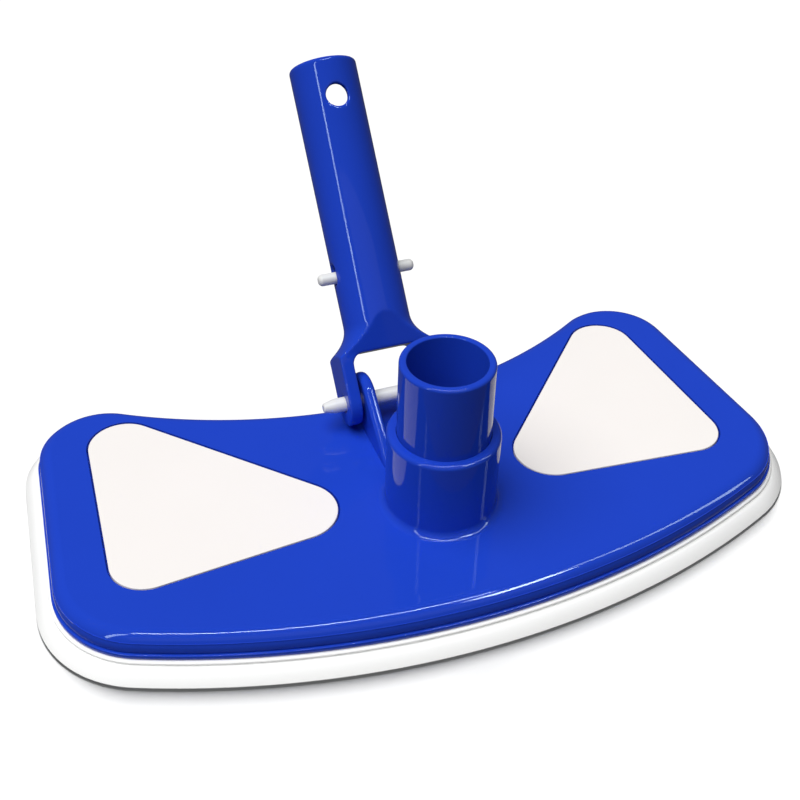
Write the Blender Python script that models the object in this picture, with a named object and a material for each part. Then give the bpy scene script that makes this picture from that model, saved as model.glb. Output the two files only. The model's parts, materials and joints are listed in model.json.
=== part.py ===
"""Manual vacuum head for a pool or spa: a weighted half-moon plate with a tilting pole handle.

Every size is in metres, with +Z up, -Y the curved front edge and +Y the hollow back edge.
Pieces are modelled about the axis of the hose port, and one parent empty then carries them to
the part's own origin, which is on the floor, under the middle of the whole object.
"""

import math

import bmesh
import bpy
from mathutils import Matrix, Vector

# General
GAP = 0.0003  # between pieces that rest on each other
TURN_STEPS = 28  # sides of a turned piece

# Plan shape of the plate: two long arcs, two straight sides and four corner arcs
FRONT_Y = -0.0590  # front edge on the centre line
FRONT_R = 0.3490
BACK_Y = 0.0721  # back edge on the centre line
BACK_R = 0.2192
SIDE_X = 0.1579  # side edge, level with the hose port
SIDE_TURN = math.radians(3.5)  # the sides close in towards the back
FRONT_CORNER_R = 0.0399
BACK_CORNER_R = 0.0274
LONG_ARC_STEPS = 8
CORNER_STEPS = 5

# Base plate
BASE_BOTTOM = 0.0060
BASE_THICKNESS = 0.0022
MOUTH_R = 0.0200
BRUSH_GROOVE_DEPTH = 0.0010

# Head shell
SHELL_BOTTOM = BASE_BOTTOM + BASE_THICKNESS + 0.0008
SHELL_TOP = SHELL_BOTTOM + 0.0094
WALL = 0.0030
BEAD_HEIGHT = 0.0024  # flange at the shell's lower edge
BEAD_STEP = 0.0009  # how far the side stands back above the flange
TOP_EDGE_R = 0.0063
EDGE_STEPS = 3

# Bumper
BUMPER_FLARE = 0.0068  # how far it stands out at the floor
BUMPER_TOP_FLARE = 0.0012
BUMPER_INNER = 0.0025  # inside the shell's edge
TONGUE_WIDTH = 0.0017
TONGUE_TOP = SHELL_TOP - TOP_EDGE_R - BEAD_STEP  # where the inside of the shell turns in

# Hose port: a fixed collar, and the swivel tube that turns in it
COLLAR_R = 0.0228
COLLAR_TOP = SHELL_TOP + 0.0365
COLLAR_CHAMFER = 0.0018
COLLAR_FOOT_R = 0.0030
HOUSING_R = 0.0256  # below the plate
SWIVEL_BORE_R = 0.0156
SWIVEL_RIM_R = 0.0186
SWIVEL_FOOT_R = 0.0189
SWIVEL_TOP = COLLAR_TOP + 0.0335
SWIVEL_RIM_ROUND = 0.0012
SWIVEL_CLEARANCE = 0.00035
FLANGE_R = 0.0220
FLANGE_TOP = SHELL_TOP - 0.0038
FLANGE_THICKNESS = 0.0022
FLANGE_CLEARANCE = 0.0004
RING_BORE_R = 0.0160
RING_THICKNESS = 0.0027
SEAL_Z = COLLAR_TOP - 0.0134
SEAL_GROOVE_WIDTH = 0.0028
SEAL_GROOVE_DEPTH = 0.0016

# Weight covers: a rounded triangle on each side. Its sharp corners are placed from the edges.
COVER_BACK_X = SIDE_X - 0.0283
COVER_BACK_MARGIN = 0.0028
COVER_FRONT_X = SIDE_X - 0.0224
COVER_FRONT_MARGIN = 0.0207
COVER_INNER_X = COLLAR_R - 0.0009
COVER_INNER_Y = -0.0007
COVER_BACK_R = 0.0150
COVER_INNER_R = 0.0164
COVER_FRONT_R = 0.0148
COVER_THICKNESS = 0.0024
COVER_EDGE = 0.0004
COVER_CLEARANCE = 0.00035
LEDGE = 0.0022  # shelf under the cover's edge
WELL_WALL = 0.0018
WELL_FLOOR = 0.0015
WEIGHT_CLEARANCE = 0.0004

# Base screws and the bosses that they bite into
SCREW_NEAR_X = 0.0380
SCREW_FAR_X = SIDE_X - 0.0499
SCREW_MARGIN = 0.0205  # from the front and back edges
SIDE_SCREW = (SIDE_X - 0.0144, 0.0500)
SCREW_SHANK_R = 0.0014
SCREW_HEAD_R = 0.0036
SCREW_HEAD_HEIGHT = 0.0012
SCREW_TIP = SHELL_TOP - 0.0049
BOSS_R = 0.0045
PILOT_CLEARANCE = 0.00035
SCREW_STEPS = 12

# Brush strips
BRUSH_INSET = 0.0115  # middle of a strip, inside the plate's edge
BRUSH_WIDTH = 0.0060
BRUSH_HOLDER_DROP = 0.0016  # how far a holder hangs below the base plate
BRISTLE_WIDTH = 0.0038
BRISTLE_TIP = 0.0003
FRONT_BRUSH = (0.0080, SIDE_X - 0.0399)  # nearest and furthest x of a front strip
REAR_BRUSH = (0.0260, SIDE_X - 0.0459)
BRUSH_STEPS = 6

# Hinge
PIVOT_Y = BACK_Y - 0.01444
PIVOT_Z = SHELL_TOP + 0.0120
HANDLE_LEAN = math.radians(39.36)  # back from upright
LUG_INNER_X = 0.0101
LUG_OUTER_X = 0.0152
ARM_INNER_X = LUG_OUTER_X + 0.0015
ARM_OUTER_X = ARM_INNER_X + 0.0056
LUG_R = 0.0124
LUG_FRONT_FOOT_Y = COLLAR_R - 0.0008
LUG_BACK_FOOT_Y = BACK_Y - 0.0061
LUG_EDGE = 0.0010
PIN_R = 0.0032
PIN_CLEARANCE = 0.0003
PIN_END_X = ARM_OUTER_X + 0.0095  # tapered end, left of the handle
PIN_NOSE = 0.0050
PIN_NOSE_R = 0.0022
PIN_HEAD_R = 0.0056
PIN_HEAD_THICKNESS = 0.0026

# Handle: s is measured along it from the hinge pin
TUBE_R = 0.01495
TUBE_BORE_R = 0.0120
HANDLE_LENGTH = 0.1475
TUBE_END_ROUND = 0.0014
TUBE_END_INNER_ROUND = 0.0004
ARM_R = 0.0100  # half the arms' width, and their round ends
YOKE_TOP = 0.0202  # top of the gap between the arms
YOKE_CORNER_R = 0.0050
BORE_START = YOKE_TOP + 0.0118
BORE_END_CHAMFER = 0.0040
FACE_SLOPE = 0.312  # the flat faces lean out towards the tube
SHOULDER_R = ARM_OUTER_X + 0.0032
SHOULDER_BOTTOM = YOKE_TOP - 0.0012
SHOULDER_TOP = YOKE_TOP + 0.0128
SHOULDER_STEPS = 5
LOCK_HOLE_S = HANDLE_LENGTH - 0.0171
LOCK_HOLE_R = 0.0049
END_NOTCH_S = HANDLE_LENGTH - 0.0195
END_NOTCH_HALF_WIDTH = 0.0115
END_NOTCH_CORNER_R = 0.0080

# Spring clip inside the handle
CLIP_S = YOKE_TOP + 0.0345
BUTTON_R = 0.0026
BUTTON_TIP_X = TUBE_R + 0.00715
BUTTON_TIP_ROUND = 0.0018
BUTTON_FLANGE_R = 0.0042
BUTTON_FLANGE_THICKNESS = 0.0015
BUTTON_FLANGE_X = TUBE_BORE_R - 0.0036
BUTTON_SLOT_CLEARANCE = 0.0005
BUTTON_SLOT_EXTRA = 0.0029  # the slots are longer than the buttons, towards the open end
SPRING_THICKNESS = 0.0018
SPRING_HALF_WIDTH = 0.0040
SPRING_LEG_BELOW = 0.0050
SPRING_LEG_ABOVE = 0.0060
SPRING_LENGTH = 0.0330
SPRING_BEND_R = 0.0036
SPRING_STEPS = 6

# Colours, as linear red, green and blue
BLUE = (0.017, 0.062, 0.60)
WHITE = (0.93, 0.91, 0.88)
PIN_WHITE = (0.86, 0.86, 0.85)
STEEL = (0.45, 0.45, 0.46)
BLACK = (0.02, 0.02, 0.02)


# ---------------------------------------------------------------- objects and materials


def clear_scene():
    for old in list(bpy.data.objects):
        bpy.data.objects.remove(old, do_unlink=True)


def material(name, colour, roughness, metallic=0.0):
    made = bpy.data.materials.new(name)
    made.use_nodes = True
    shader = made.node_tree.nodes["Principled BSDF"]
    shader.inputs["Base Color"].default_value = (*colour, 1.0)
    shader.inputs["Roughness"].default_value = roughness
    shader.inputs["Metallic"].default_value = metallic
    made.diffuse_color = (*colour, 1.0)
    return made


def empty(name, location, parent=None):
    made = bpy.data.objects.new(name, None)
    bpy.context.scene.collection.objects.link(made)
    made.empty_display_size = 0.02
    made.location = location
    made.parent = parent
    return made


def object_from(name, bm):
    """A new object that holds the bmesh, with its faces turned outwards."""
    bmesh.ops.recalc_face_normals(bm, faces=bm.faces)
    mesh = bpy.data.meshes.new(name)
    bm.to_mesh(mesh)
    bm.free()
    made = bpy.data.objects.new(name, mesh)
    bpy.context.scene.collection.objects.link(made)
    return made


def finish(piece, colour_name, colour, roughness, metallic=0.0, parent=None, location=(0, 0, 0)):
    piece.data.materials.clear()
    piece.data.materials.append(material(colour_name, colour, roughness, metallic))
    piece.data.shade_smooth()
    piece.data.set_sharp_from_angle(angle=math.radians(35))
    piece.parent = parent
    piece.location = location
    return piece


def combine(target, tool, operation):
    """Boolean of the tool on the target, applied, and the tool removed."""
    modifier = target.modifiers.new(operation.title(), "BOOLEAN")
    modifier.operation = operation
    modifier.solver = "EXACT"
    modifier.object = tool
    bpy.context.view_layer.objects.active = target
    bpy.ops.object.modifier_apply(modifier=modifier.name)
    bpy.data.objects.remove(tool, do_unlink=True)


# ---------------------------------------------------------------- outlines


def arc(centre, radius, start, end, steps):
    angles = (start + (end - start) * step / steps for step in range(steps + 1))
    return [(centre[0] + radius * math.cos(a), centre[1] + radius * math.sin(a)) for a in angles]


def corner_centre(arc_y, arc_radius, side_distance):
    """Where a corner arc's centre lies: this far from the long arc's centre and from the side."""
    normal = Vector((math.cos(SIDE_TURN), math.sin(SIDE_TURN)))
    rise = side_distance - normal.y * arc_y
    foot = Vector((0.0, arc_y)) + normal * rise
    along = math.sqrt(arc_radius**2 - rise**2)
    return foot - along * Vector((-normal.y, normal.x))


def right_edge(grow):
    """The plate's edge from the front's middle round to the back's middle, moved out by grow."""
    front_y = FRONT_Y + FRONT_R
    back_y = BACK_Y + BACK_R
    front_r = FRONT_R + grow
    back_r = BACK_R - grow
    front_corner = FRONT_CORNER_R + grow
    back_corner = BACK_CORNER_R + grow
    side = SIDE_X * math.cos(SIDE_TURN) + grow
    front_centre = corner_centre(front_y, front_r - front_corner, side - front_corner)
    back_centre = corner_centre(back_y, back_r + back_corner, side - back_corner)
    front_turn = math.atan2(front_centre.y - front_y, front_centre.x)
    back_turn = math.atan2(back_y - back_centre.y, -back_centre.x)
    points = arc((0, front_y), front_r, -math.pi / 2, front_turn, LONG_ARC_STEPS)
    points += arc(front_centre, front_corner, front_turn, SIDE_TURN, CORNER_STEPS)[1:]
    points += arc(back_centre, back_corner, SIDE_TURN, back_turn, CORNER_STEPS)
    points += arc((0, back_y), back_r, back_turn - math.pi, -math.pi / 2, LONG_ARC_STEPS)[1:]
    return points


def plate_outline(grow=0.0):
    right = right_edge(grow)
    left = [(-x, y) for x, y in reversed(right[1:-1])]
    return right + left


def front_edge_y(x):
    return FRONT_Y + FRONT_R - math.sqrt(FRONT_R**2 - x**2)


def back_edge_y(x):
    return BACK_Y + BACK_R - math.sqrt(BACK_R**2 - x**2)


def cover_outline(side, grow=0.0):
    """The rounded triangle of a weight cover, on the left (-1) or the right (1)."""
    back = Vector((COVER_BACK_X, back_edge_y(COVER_BACK_X) - COVER_BACK_MARGIN))
    inner = Vector((COVER_INNER_X, COVER_INNER_Y))
    front = Vector((COVER_FRONT_X, front_edge_y(COVER_FRONT_X) + COVER_FRONT_MARGIN))
    corners = [back, inner, front]
    radii = (COVER_BACK_R, COVER_INNER_R, COVER_FRONT_R)
    points = []
    for index, corner in enumerate(corners):
        before = (corners[index - 1] - corner).normalized()
        after = (corners[(index + 1) % 3] - corner).normalized()
        half_angle = before.angle(after) / 2
        centre = corner + (before + after).normalized() * (radii[index] / math.sin(half_angle))
        start = corner + before * (radii[index] / math.tan(half_angle)) - centre
        end = corner + after * (radii[index] / math.tan(half_angle)) - centre
        first = math.atan2(start.y, start.x)
        turn = (math.atan2(end.y, end.x) - first + math.pi) % math.tau - math.pi
        points += arc(centre, radii[index] + grow, first, first + turn, CORNER_STEPS)
    return [(side * x, y) for x, y in points]


def tangent_point(point, centre, radius, side):
    """Where a line from the point touches a circle, passing it on the side given."""
    towards = Vector(centre) - Vector(point)
    swing = side * math.acos(radius / towards.length)
    back = -towards.normalized() * radius
    turned = Vector((
        back.x * math.cos(swing) - back.y * math.sin(swing),
        back.x * math.sin(swing) + back.y * math.cos(swing),
    ))
    return Vector(centre) + turned


# ---------------------------------------------------------------- solids


def loft(name, rings, ring_shaped=False):
    """A solid through rings of equal length: capped at both ends, or closed on itself."""
    bm = bmesh.new()
    made = [[bm.verts.new(point) for point in ring] for ring in rings]
    count = len(made[0])
    pairs = list(zip(made, made[1:]))
    if ring_shaped:
        pairs.append((made[-1], made[0]))
    else:
        bm.faces.new(made[0])
        bm.faces.new(made[-1])
    for lower, upper in pairs:
        for index in range(count):
            after = (index + 1) % count
            bm.faces.new((lower[index], lower[after], upper[after], upper[index]))
    return object_from(name, bm)


def prism(name, outline, low, high):
    """An outline in the XY plane, made solid between two heights."""
    return loft(name, [[(x, y, z) for x, y in outline] for z in (low, high)])


def side_prism(name, outline, left, right):
    """An outline of (y, z) points, made solid between two values of x."""
    return loft(name, [[(x, y, z) for y, z in outline] for x in (left, right)])


def front_prism(name, outline, front, back):
    """An outline of (x, z) points, made solid between two values of y."""
    return loft(name, [[(x, y, z) for x, z in outline] for y in (front, back)])


def plate_loft(name, steps):
    """A solid of the plate's plan shape through (grow, z) steps."""
    return loft(name, [[(x, y, z) for x, y in plate_outline(grow)] for grow, z in steps])


def turned(name, profile, steps=TURN_STEPS, hollow=False, axis="Z"):
    """A profile of (radius, height) points turned about an axis. A hollow one has no ends."""
    rings = []
    for radius, height in profile:
        circle = arc((0, 0), radius, 0, math.tau, steps)[:-1]
        rings.append([(x, y, height) for x, y in circle])
    piece = loft(name, rings, ring_shaped=hollow)
    if axis == "X":
        piece.data.transform(Matrix.Rotation(math.pi / 2, 4, "Y"))
    if axis == "Y":
        piece.data.transform(Matrix.Rotation(-math.pi / 2, 4, "X"))
    return piece


def cylinder(name, radius, low, high, axis="Z", steps=TURN_STEPS):
    return turned(name, [(radius, low), (radius, high)], steps, axis=axis)


def moved(piece, x=0.0, y=0.0, z=0.0):
    piece.data.transform(Matrix.Translation((x, y, z)))
    return piece


def slot_outline(half_width, low, high, corner, steps=6):
    """A rectangle that is half_width each side of the middle, with its corners rounded."""
    points = arc((half_width - corner, high - corner), corner, 0, math.pi / 2, steps)
    points += arc((-half_width + corner, high - corner), corner, math.pi / 2, math.pi, steps)
    points += arc((-half_width + corner, low + corner), corner, math.pi, 1.5 * math.pi, steps)
    points += arc((half_width - corner, low + corner), corner, 1.5 * math.pi, math.tau, steps)
    return points


# ---------------------------------------------------------------- head shell


def shell_plate():
    side = -BEAD_STEP
    turn_z = SHELL_TOP - TOP_EDGE_R
    steps = [(0, SHELL_BOTTOM), (0, SHELL_BOTTOM + BEAD_HEIGHT)]
    steps += [(grow + side - TOP_EDGE_R, z + turn_z)
              for grow, z in arc((0, 0), TOP_EDGE_R, 0, math.pi / 2, EDGE_STEPS)]
    plate = plate_loft("head_shell", steps)
    inner_r = TOP_EDGE_R + BEAD_STEP - WALL
    steps = [(-WALL, SHELL_BOTTOM - WALL)]
    steps += [(grow + side - TOP_EDGE_R, z + SHELL_TOP - WALL - inner_r)
              for grow, z in arc((0, 0), inner_r, 0, math.pi / 2, EDGE_STEPS)]
    combine(plate, plate_loft("hollow", steps), "DIFFERENCE")
    return plate


def housing_profile():
    foot = SHELL_TOP + COLLAR_FOOT_R
    profile = [(HOUSING_R, base_top() + GAP), (HOUSING_R, SHELL_TOP - WALL / 2)]
    profile += [(COLLAR_R + COLLAR_FOOT_R + r, foot + z)
                for r, z in arc((0, 0), COLLAR_FOOT_R, -math.pi / 2, -math.pi, EDGE_STEPS)]
    profile += [(COLLAR_R, COLLAR_TOP - COLLAR_CHAMFER)]
    profile += [(COLLAR_R - COLLAR_CHAMFER, COLLAR_TOP)]
    return profile


def lug(side):
    centre = (PIVOT_Y, PIVOT_Z)
    front_foot = (LUG_FRONT_FOOT_Y, SHELL_TOP)
    back_foot = (LUG_BACK_FOOT_Y, SHELL_TOP)
    front = tangent_point(front_foot, centre, LUG_R, -1)
    back = tangent_point(back_foot, centre, LUG_R, 1)
    start = math.atan2(back.y - PIVOT_Z, back.x - PIVOT_Y)
    end = math.atan2(front.y - PIVOT_Z, front.x - PIVOT_Y)
    outline = arc(centre, LUG_R, start, end, 12)
    root = SHELL_TOP - WALL / 2
    outline += [front_foot, (LUG_FRONT_FOOT_Y, root), (LUG_BACK_FOOT_Y, root), back_foot]
    piece = side_prism("lug", outline, side * LUG_INNER_X, side * LUG_OUTER_X)
    rounded(piece, LUG_EDGE, 2)
    return piece


def rounded(piece, width, segments, sharper_than=math.radians(30)):
    """Rounds the edges where two faces meet at more than an angle."""
    bm = bmesh.new()
    bm.from_mesh(piece.data)
    edges = [edge for edge in bm.edges if edge.calc_face_angle(0) > sharper_than]
    bmesh.ops.bevel(bm, geom=edges, offset=width, segments=segments, profile=0.5,
                    affect="EDGES", clamp_overlap=True)
    bm.to_mesh(piece.data)
    bm.free()


def base_top():
    return BASE_BOTTOM + BASE_THICKNESS


def well_bottom():
    return base_top() + GAP


def ledge_top():
    return SHELL_TOP - COVER_THICKNESS - GAP


def screw_places():
    """Side, number, x and y of each screw."""
    places = [(x, front_edge_y(x) + SCREW_MARGIN) for x in (SCREW_NEAR_X, SCREW_FAR_X)]
    places += [SIDE_SCREW, (SCREW_NEAR_X, back_edge_y(SCREW_NEAR_X) - SCREW_MARGIN)]
    return [(side, number, side * x, y) for side in (-1, 1)
            for number, (x, y) in enumerate(places, 1)]


def make_head_shell(parent):
    shell = shell_plate()
    root = SHELL_TOP - WALL / 2
    for side in (-1, 1):
        well = cover_outline(side, WELL_WALL)
        combine(shell, prism("well", well, well_bottom(), root), "UNION")
        combine(shell, lug(side), "UNION")
    combine(shell, turned("housing", housing_profile()), "UNION")
    for _, _, x, y in screw_places():
        boss = cylinder("boss", BOSS_R, well_bottom(), root, steps=16)
        combine(shell, moved(boss, x, y), "UNION")
    for side in (-1, 1):
        opening = cover_outline(side, COVER_CLEARANCE)
        combine(shell, prism("seat", opening, ledge_top(), SHELL_TOP + WALL), "DIFFERENCE")
        inside = cover_outline(side, -LEDGE)
        floor = well_bottom() + WELL_FLOOR
        combine(shell, prism("hollow", inside, floor, ledge_top() + WALL), "DIFFERENCE")
    for _, _, x, y in screw_places():
        pilot = cylinder("pilot", SCREW_SHANK_R + PILOT_CLEARANCE, BASE_BOTTOM,
                         SCREW_TIP + GAP, steps=SCREW_STEPS)
        combine(shell, moved(pilot, x, y), "DIFFERENCE")
    bore = SWIVEL_FOOT_R + SWIVEL_CLEARANCE
    combine(shell, cylinder("bore", bore, FLANGE_TOP, COLLAR_TOP + WALL), "DIFFERENCE")
    seat = FLANGE_R + FLANGE_CLEARANCE
    seat_top = FLANGE_TOP + FLANGE_CLEARANCE
    combine(shell, cylinder("seat", seat, SHELL_BOTTOM - WALL, seat_top), "DIFFERENCE")
    pin_hole = cylinder("pin_hole", PIN_R + PIN_CLEARANCE, -ARM_OUTER_X, ARM_OUTER_X, "X", 24)
    combine(shell, moved(pin_hole, 0, PIVOT_Y, PIVOT_Z), "DIFFERENCE")
    return finish(shell, "glossy blue", BLUE, 0.22, parent=parent)


# ---------------------------------------------------------------- covers, weights, bumper


def make_cover(name, side, parent):
    top = SHELL_TOP
    bottom = top - COVER_THICKNESS
    steps = [(0, bottom), (0, top - COVER_EDGE), (-COVER_EDGE, top)]
    rings = [[(x, y, z) for x, y in cover_outline(side, grow)] for grow, z in steps]
    return finish(loft(name, rings), "white cover", WHITE, 0.45, parent=parent)


def make_weight(name, side, parent):
    outline = cover_outline(side, -LEDGE - WEIGHT_CLEARANCE)
    bottom = well_bottom() + WELL_FLOOR + GAP
    top = ledge_top() - WEIGHT_CLEARANCE
    return finish(prism(name, outline, bottom, top), "zinc plated", STEEL, 0.5, 0.9, parent)


def make_bumper(name, parent):
    top = SHELL_BOTTOM - GAP
    ledge = base_top() + GAP
    tongue_outer = -WALL - GAP
    tongue_inner = tongue_outer - TONGUE_WIDTH
    flare = BUMPER_FLARE - BUMPER_TOP_FLARE
    bulge = [(BUMPER_TOP_FLARE + flare * math.cos(a), top * math.sin(a) ** 1.2)
             for a in (math.pi / 2 * step / EDGE_STEPS for step in range(EDGE_STEPS))]
    profile = bulge + [(BUMPER_TOP_FLARE, top), (tongue_outer, top)]
    profile += [(tongue_outer, TONGUE_TOP), (tongue_inner, TONGUE_TOP)]
    profile += [(tongue_inner, ledge), (-BUMPER_INNER, ledge), (-BUMPER_INNER, 0)]
    rings = [[(x, y, z) for x, y in plate_outline(grow)] for grow, z in profile]
    return finish(loft(name, rings, ring_shaped=True), "white vinyl", WHITE, 0.5, parent=parent)


# ---------------------------------------------------------------- underside


def edge_strip(side, front, reach, inset, width):
    """A strip of even width that follows the plate's front or back edge."""
    arc_y = FRONT_Y + FRONT_R if front else BACK_Y + BACK_R
    radius = FRONT_R - inset if front else BACK_R + inset
    edges = []
    for half in (-width / 2, width / 2):
        row = []
        for step in range(BRUSH_STEPS + 1):
            x = reach[0] + (reach[1] - reach[0]) * step / BRUSH_STEPS
            turn = math.asin(x / radius)
            distance = radius + half
            row.append((side * distance * math.sin(turn), arc_y - distance * math.cos(turn)))
        edges.append(row)
    return edges[0] + edges[1][::-1]


BRUSHES = (("front_left", -1, True), ("front_right", 1, True),
           ("rear_left", -1, False), ("rear_right", 1, False))


def brush_reach(front):
    return FRONT_BRUSH if front else REAR_BRUSH


def make_base_plate(name, parent):
    edge = -BUMPER_INNER - GAP
    plate = plate_loft(name, [(edge, BASE_BOTTOM), (edge, base_top())])
    mouth = turned("mouth", [(MOUTH_R + BASE_THICKNESS, BASE_BOTTOM - BASE_THICKNESS),
                             (MOUTH_R, base_top()), (MOUTH_R, base_top() + WALL)])
    combine(plate, mouth, "DIFFERENCE")
    for _, _, x, y in screw_places():
        hole = cylinder("hole", SCREW_SHANK_R + 2 * PILOT_CLEARANCE, 0, SHELL_TOP, steps=16)
        combine(plate, moved(hole, x, y), "DIFFERENCE")
    for _, side, front in BRUSHES:
        near, far = brush_reach(front)
        reach = (near - GAP, far + GAP)
        outline = edge_strip(side, front, reach, BRUSH_INSET, BRUSH_WIDTH + 2 * GAP)
        groove = prism("groove", outline, 0, BASE_BOTTOM + BRUSH_GROOVE_DEPTH)
        combine(plate, groove, "DIFFERENCE")
    return finish(plate, "base plastic", WHITE, 0.5, parent=parent)


def make_brush_holder(name, side, front, parent):
    outline = edge_strip(side, front, brush_reach(front), BRUSH_INSET, BRUSH_WIDTH)
    top = BASE_BOTTOM + BRUSH_GROOVE_DEPTH - GAP
    piece = prism(name, outline, BASE_BOTTOM - BRUSH_HOLDER_DROP, top)
    return finish(piece, "brush holder", BLUE, 0.4, parent=parent)


def make_bristles(name, side, front, parent):
    near, far = brush_reach(front)
    inset = (BRUSH_WIDTH - BRISTLE_WIDTH) / 2
    outline = edge_strip(side, front, (near + inset, far - inset), BRUSH_INSET, BRISTLE_WIDTH)
    piece = prism(name, outline, BRISTLE_TIP, BASE_BOTTOM - BRUSH_HOLDER_DROP - GAP)
    return finish(piece, "bristle", WHITE, 0.7, parent=parent)


def make_screw(name, x, y, parent):
    head_top = BASE_BOTTOM - GAP
    head_bottom = head_top - SCREW_HEAD_HEIGHT
    profile = [(SCREW_HEAD_R * 0.7, head_bottom), (SCREW_HEAD_R, head_top - SCREW_HEAD_HEIGHT / 2),
               (SCREW_HEAD_R, head_top), (SCREW_SHANK_R, head_top),
               (SCREW_SHANK_R, SCREW_TIP - SCREW_SHANK_R), (SCREW_SHANK_R / 4, SCREW_TIP)]
    piece = turned(name, profile, SCREW_STEPS)
    return finish(piece, "stainless screw", STEEL, 0.3, 1.0, parent, (x, y, 0))


# ---------------------------------------------------------------- hose swivel


def make_swivel(name, parent):
    round_r = SWIVEL_RIM_ROUND
    collar_bore = SWIVEL_FOOT_R
    flange_bottom = FLANGE_TOP - FLANGE_THICKNESS
    groove_low = SEAL_Z - SEAL_GROOVE_WIDTH / 2
    groove_high = SEAL_Z + SEAL_GROOVE_WIDTH / 2
    groove_r = collar_bore - SEAL_GROOVE_DEPTH
    outer = [(FLANGE_R, flange_bottom), (FLANGE_R, FLANGE_TOP), (collar_bore, FLANGE_TOP),
             (collar_bore, groove_low), (groove_r, groove_low), (groove_r, groove_high),
             (collar_bore, groove_high), (collar_bore, COLLAR_TOP)]
    outer += [(SWIVEL_RIM_R - round_r + r, SWIVEL_TOP - round_r + z)
              for r, z in arc((0, 0), round_r, 0, math.pi / 2, 3)]
    inner = [(SWIVEL_BORE_R + round_r / 2, SWIVEL_TOP), (SWIVEL_BORE_R, SWIVEL_TOP - round_r / 2),
             (SWIVEL_BORE_R, flange_bottom)]
    piece = turned(name, outer + inner, hollow=True)
    return finish(piece, "glossy blue", BLUE, 0.22, parent=parent)


def make_swivel_seal(name, parent):
    inner = SWIVEL_FOOT_R - SEAL_GROOVE_DEPTH
    outer = SWIVEL_FOOT_R + SWIVEL_CLEARANCE
    section = (outer - inner) / 2 - GAP
    profile = [((outer + inner) / 2 + r, SEAL_Z + z)
               for r, z in arc((0, 0), section, 0, math.tau, 8)[:-1]]
    piece = turned(name, profile, hollow=True)
    return finish(piece, "black rubber", BLACK, 0.6, parent=parent)


def make_retaining_ring(name, parent):
    top = FLANGE_TOP - FLANGE_THICKNESS - GAP
    outer = FLANGE_R + FLANGE_CLEARANCE - GAP
    profile = [(RING_BORE_R, top - RING_THICKNESS), (outer, top - RING_THICKNESS),
               (outer, top), (RING_BORE_R, top)]
    return finish(turned(name, profile, hollow=True), "ring plastic", WHITE, 0.5, parent=parent)


# ---------------------------------------------------------------- handle and hinge pin


def handle_profile():
    """Half section of the tube and the bell-shaped shoulders, from the hinge upwards."""
    profile = [(SHOULDER_R, -SHOULDER_R), (SHOULDER_R, SHOULDER_BOTTOM)]
    for step in range(1, SHOULDER_STEPS + 1):
        part = step / SHOULDER_STEPS
        radius = TUBE_R + (SHOULDER_R - TUBE_R) * (1 - part) ** 2.2
        profile.append((radius, SHOULDER_BOTTOM + (SHOULDER_TOP - SHOULDER_BOTTOM) * part))
    profile += [(TUBE_R - TUBE_END_ROUND + r, HANDLE_LENGTH - TUBE_END_ROUND + z)
                for r, z in arc((0, 0), TUBE_END_ROUND, 0, math.pi / 2, 4)]
    return profile


def yoke_side_outline():
    """The handle seen from the side, as (y, z) points."""
    outer = SHOULDER_R
    spread = (outer - ARM_R) / FACE_SLOPE
    outline = arc((0, 0), ARM_R, math.pi, math.tau, 12)
    outline += [(ARM_R, YOKE_TOP), (outer, YOKE_TOP + spread), (outer, 2 * HANDLE_LENGTH)]
    outline += [(-outer, 2 * HANDLE_LENGTH), (-outer, YOKE_TOP + spread), (-ARM_R, YOKE_TOP)]
    return outline


def make_handle(name, parent):
    handle = turned(name, handle_profile())
    sides = side_prism("sides", yoke_side_outline(), -ARM_OUTER_X, ARM_OUTER_X)
    combine(handle, sides, "INTERSECT")
    gap = slot_outline(ARM_INNER_X, -2 * ARM_R, YOKE_TOP, YOKE_CORNER_R)
    combine(handle, front_prism("gap", gap, -2 * ARM_R, 2 * ARM_R), "DIFFERENCE")
    bore = turned("bore", [(TUBE_BORE_R - BORE_END_CHAMFER, BORE_START),
                           (TUBE_BORE_R, BORE_START + BORE_END_CHAMFER),
                           (TUBE_BORE_R, HANDLE_LENGTH - TUBE_END_INNER_ROUND),
                           (TUBE_BORE_R + 2 * TUBE_END_INNER_ROUND,
                            HANDLE_LENGTH + TUBE_END_INNER_ROUND)])
    combine(handle, bore, "DIFFERENCE")
    pin_hole = cylinder("pin_hole", PIN_R + PIN_CLEARANCE, -2 * ARM_OUTER_X, 2 * ARM_OUTER_X, "X", 24)
    combine(handle, pin_hole, "DIFFERENCE")
    slot_r = BUTTON_R + BUTTON_SLOT_CLEARANCE
    slot = slot_outline(slot_r, CLIP_S - slot_r, CLIP_S + slot_r + BUTTON_SLOT_EXTRA, 0.9 * slot_r)
    combine(handle, side_prism("slot", slot, -2 * TUBE_R, 2 * TUBE_R), "DIFFERENCE")
    lock_hole = cylinder("lock_hole", LOCK_HOLE_R, -2 * TUBE_R, -TUBE_R / 4, "Y", 24)
    combine(handle, moved(lock_hole, z=LOCK_HOLE_S), "DIFFERENCE")
    notch = slot_outline(END_NOTCH_HALF_WIDTH, END_NOTCH_S, HANDLE_LENGTH + 2 * END_NOTCH_CORNER_R,
                         END_NOTCH_CORNER_R)
    combine(handle, front_prism("notch", notch, TUBE_R / 8, 2 * TUBE_R), "DIFFERENCE")
    return finish(handle, "glossy blue", BLUE, 0.22, parent=parent)


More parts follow.
